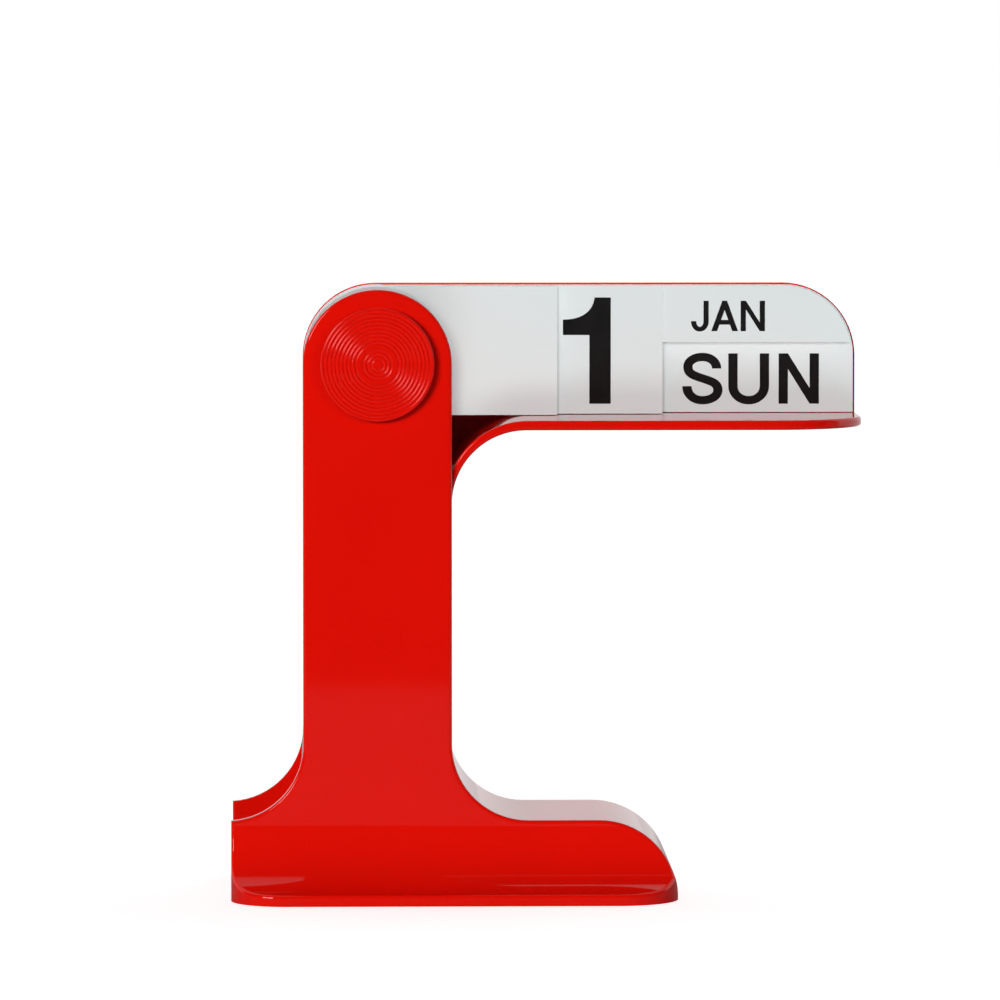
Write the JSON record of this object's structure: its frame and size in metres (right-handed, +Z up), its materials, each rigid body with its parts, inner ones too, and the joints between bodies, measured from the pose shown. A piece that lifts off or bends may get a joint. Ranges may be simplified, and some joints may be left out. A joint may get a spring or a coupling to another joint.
{
  "type": "perpetual desk calendar",
  "caption": "Perpetual desk calendar: a red stand whose date, month and weekday cards hang in its column on one pivot and swing up and over onto a shelf arm.",
  "frame": {"origin": "bottom centre of the whole object, on the surface that the foot stands on", "axes": "+X along the shelf arm towards its free end, -Y towards the reader in front, +Z up"},
  "size_m": [0.1712, 0.089, 0.164],
  "materials": {
    "red_moulding": "glossy",
    "pin_steel": "turned",
    "card_white": "satin",
    "print_ink": "matt black"
  },
  "bodies": {
    "stand": {"front_shell": "red_moulding", "rear_shell": "red_moulding"},
    "pivot": {"pivot_pin": "pin_steel", "front_disc": "red_moulding", "rear_disc": "red_moulding", "front_sleeve": "red_moulding", "rear_sleeve": "red_moulding"},
    "card_tens_3": {"card_tens_3": "card_white"},
    "card_tens_2": {"card_tens_2": "card_white"},
    "card_tens_1": {"card_tens_1": "card_white"},
    "card_tens_blank": {"card_tens_blank": "card_white"},
    "card_units_0": {"card_units_0": "card_white"},
    "card_units_9": {"card_units_9": "card_white"},
    "card_units_8": {"card_units_8": "card_white"},
    "card_units_7": {"card_units_7": "card_white"},
    "card_units_6": {"card_units_6": "card_white"},
    "card_units_5": {"card_units_5": "card_white"},
    "card_units_4": {"card_units_4": "card_white"},
    "card_units_3": {"card_units_3": "card_white"},
    "card_units_2": {"card_units_2": "card_white"},
    "card_units_1": {"card_units_1": "card_white"},
    "card_month_jan": {"card_month_jan": "card_white"},
    "card_month_feb": {"card_month_feb": "card_white"},
    "card_month_mar": {"card_month_mar": "card_white"},
    "card_month_apr": {"card_month_apr": "card_white"},
    "card_month_may": {"card_month_may": "card_white"},
    "card_month_jun": {"card_month_jun": "card_white"},
    "card_month_jul": {"card_month_jul": "card_white"},
    "card_month_aug": {"card_month_aug": "card_white"},
    "card_month_sep": {"card_month_sep": "card_white"},
    "card_month_oct": {"card_month_oct": "card_white"},
    "card_month_nov": {"card_month_nov": "card_white"},
    "card_month_dec": {"card_month_dec": "card_white"},
    "card_weekday_sun": {"card_weekday_sun": "card_white"},
    "card_weekday_mon": {"card_weekday_mon": "card_white"},
    "card_weekday_tue": {"card_weekday_tue": "card_white"},
    "card_weekday_wed": {"card_weekday_wed": "card_white"},
    "card_weekday_thu": {"card_weekday_thu": "card_white"},
    "card_weekday_fri": {"card_weekday_fri": "card_white"},
    "card_weekday_sat": {"card_weekday_sat": "card_white"}
  },
  "joints": [
    {"name": "pivot_turn", "type": "hinge", "parent": "stand", "child": "pivot", "pos_m": [-0.04615, 0, 0.144], "axis": [0, -1, 0], "continuous": true},
    {"name": "tens_3_swing", "type": "hinge", "parent": "stand", "child": "card_tens_3", "pos_m": [-0.04615, 0, 0.144], "axis": [0, -1, 0], "range_deg": [-264.93, 2.31]},
    {"name": "tens_2_swing", "type": "hinge", "parent": "stand", "child": "card_tens_2", "pos_m": [-0.04615, 0, 0.144], "axis": [0, -1, 0], "range_deg": [-264.93, 2.31]},
    {"name": "tens_1_swing", "type": "hinge", "parent": "stand", "child": "card_tens_1", "pos_m": [-0.04615, 0, 0.144], "axis": [0, -1, 0], "range_deg": [-264.93, 2.31]},
    {"name": "tens_blank_swing", "type": "hinge", "parent": "stand", "child": "card_tens_blank", "pos_m": [-0.04615, 0, 0.144], "axis": [0, -1, 0], "range_deg": [0, 267.25]},
    {"name": "units_0_swing", "type": "hinge", "parent": "stand", "child": "card_units_0", "pos_m": [-0.04615, 0, 0.144], "axis": [0, -1, 0], "range_deg": [-266.81, 0.43]},
    {"name": "units_9_swing", "type": "hinge", "parent": "stand", "child": "card_units_9", "pos_m": [-0.04615, 0, 0.144], "axis": [0, -1, 0], "range_deg": [-266.81, 0.43]},
    {"name": "units_8_swing", "type": "hinge", "parent": "stand", "child": "card_units_8", "pos_m": [-0.04615, 0, 0.144], "axis": [0, -1, 0], "range_deg": [-266.81, 0.43]},
    {"name": "units_7_swing", "type": "hinge", "parent": "stand", "child": "card_units_7", "pos_m": [-0.04615, 0, 0.144], "axis": [0, -1, 0], "range_deg": [-266.81, 0.43]},
    {"name": "units_6_swing", "type": "hinge", "parent": "stand", "child": "card_units_6", "pos_m": [-0.04615, 0, 0.144], "axis": [0, -1, 0], "range_deg": [-266.81, 0.43]},
    {"name": "units_5_swing", "type": "hinge", "parent": "stand", "child": "card_units_5", "pos_m": [-0.04615, 0, 0.144], "axis": [0, -1, 0], "range_deg": [-266.81, 0.43]},
    {"name": "units_4_swing", "type": "hinge", "parent": "stand", "child": "card_units_4", "pos_m": [-0.04615, 0, 0.144], "axis": [0, -1, 0], "range_deg": [-266.81, 0.43]},
    {"name": "units_3_swing", "type": "hinge", "parent": "stand", "child": "card_units_3", "pos_m": [-0.04615, 0, 0.144], "axis": [0, -1, 0], "range_deg": [-266.81, 0.43]},
    {"name": "units_2_swing", "type": "hinge", "parent": "stand", "child": "card_units_2", "pos_m": [-0.04615, 0, 0.144], "axis": [0, -1, 0], "range_deg": [-266.81, 0.43]},
    {"name": "units_1_swing", "type": "hinge", "parent": "stand", "child": "card_units_1", "pos_m": [-0.04615, 0, 0.144], "axis": [0, -1, 0], "range_deg": [0, 267.25]},
    {"name": "month_jan_swing", "type": "hinge", "parent": "stand", "child": "card_month_jan", "pos_m": [-0.04615, 0, 0.144], "axis": [0, -1, 0], "range_deg": [0, 267.25]},
    {"name": "month_feb_swing", "type": "hinge", "parent": "stand", "child": "card_month_feb", "pos_m": [-0.04615, 0, 0.144], "axis": [0, -1, 0], "range_deg": [-267.25, 0]},
    {"name": "month_mar_swing", "type": "hinge", "parent": "stand", "child": "card_month_mar", "pos_m": [-0.04615, 0, 0.144], "axis": [0, -1, 0], "range_deg": [-267.25, 0]},
    {"name": "month_apr_swing", "type": "hinge", "parent": "stand", "child": "card_month_apr", "pos_m": [-0.04615, 0, 0.144], "axis": [0, -1, 0], "range_deg": [-267.25, 0]},
    {"name": "month_may_swing", "type": "hinge", "parent": "stand", "child": "card_month_may", "pos_m": [-0.04615, 0, 0.144], "axis": [0, -1, 0], "range_deg": [-267.25, 0]},
    {"name": "month_jun_swing", "type": "hinge", "parent": "stand", "child": "card_month_jun", "pos_m": [-0.04615, 0, 0.144], "axis": [0, -1, 0], "range_deg": [-267.25, 0]},
    {"name": "month_jul_swing", "type": "hinge", "parent": "stand", "child": "card_month_jul", "pos_m": [-0.04615, 0, 0.144], "axis": [0, -1, 0], "range_deg": [-267.25, 0]},
    {"name": "month_aug_swing", "type": "hinge", "parent": "stand", "child": "card_month_aug", "pos_m": [-0.04615, 0, 0.144], "axis": [0, -1, 0], "range_deg": [-267.25, 0]},
    {"name": "month_sep_swing", "type": "hinge", "parent": "stand", "child": "card_month_sep", "pos_m": [-0.04615, 0, 0.144], "axis": [0, -1, 0], "range_deg": [-267.25, 0]},
    {"name": "month_oct_swing", "type": "hinge", "parent": "stand", "child": "card_month_oct", "pos_m": [-0.04615, 0, 0.144], "axis": [0, -1, 0], "range_deg": [-267.25, 0]},
    {"name": "month_nov_swing", "type": "hinge", "parent": "stand", "child": "card_month_nov", "pos_m": [-0.04615, 0, 0.144], "axis": [0, -1, 0], "range_deg": [-267.25, 0]},
    {"name": "month_dec_swing", "type": "hinge", "parent": "stand", "child": "card_month_dec", "pos_m": [-0.04615, 0, 0.144], "axis": [0, -1, 0], "range_deg": [-267.25, 0]},
    {"name": "weekday_sun_swing", "type": "hinge", "parent": "stand", "child": "card_weekday_sun", "pos_m": [-0.04615, 0, 0.144], "axis": [0, -1, 0], "range_deg": [0, 267.25]},
    {"name": "weekday_mon_swing", "type": "hinge", "parent": "stand", "child": "card_weekday_mon", "pos_m": [-0.04615, 0, 0.144], "axis": [0, -1, 0], "range_deg": [-267.25, 0]},
    {"name": "weekday_tue_swing", "type": "hinge", "parent": "stand", "child": "card_weekday_tue", "pos_m": [-0.04615, 0, 0.144], "axis": [0, -1, 0], "range_deg": [-267.25, 0]},
    {"name": "weekday_wed_swing", "type": "hinge", "parent": "stand", "child": "card_weekday_wed", "pos_m": [-0.04615, 0, 0.144], "axis": [0, -1, 0], "range_deg": [-267.25, 0]},
    {"name": "weekday_thu_swing", "type": "hinge", "parent": "stand", "child": "card_weekday_thu", "pos_m": [-0.04615, 0, 0.144], "axis": [0, -1, 0], "range_deg": [-267.25, 0]},
    {"name": "weekday_fri_swing", "type": "hinge", "parent": "stand", "child": "card_weekday_fri", "pos_m": [-0.04615, 0, 0.144], "axis": [0, -1, 0], "range_deg": [-267.25, 0]},
    {"name": "weekday_sat_swing", "type": "hinge", "parent": "stand", "child": "card_weekday_sat", "pos_m": [-0.04615, 0, 0.144], "axis": [0, -1, 0], "range_deg": [-267.25, 0]}
  ]
}
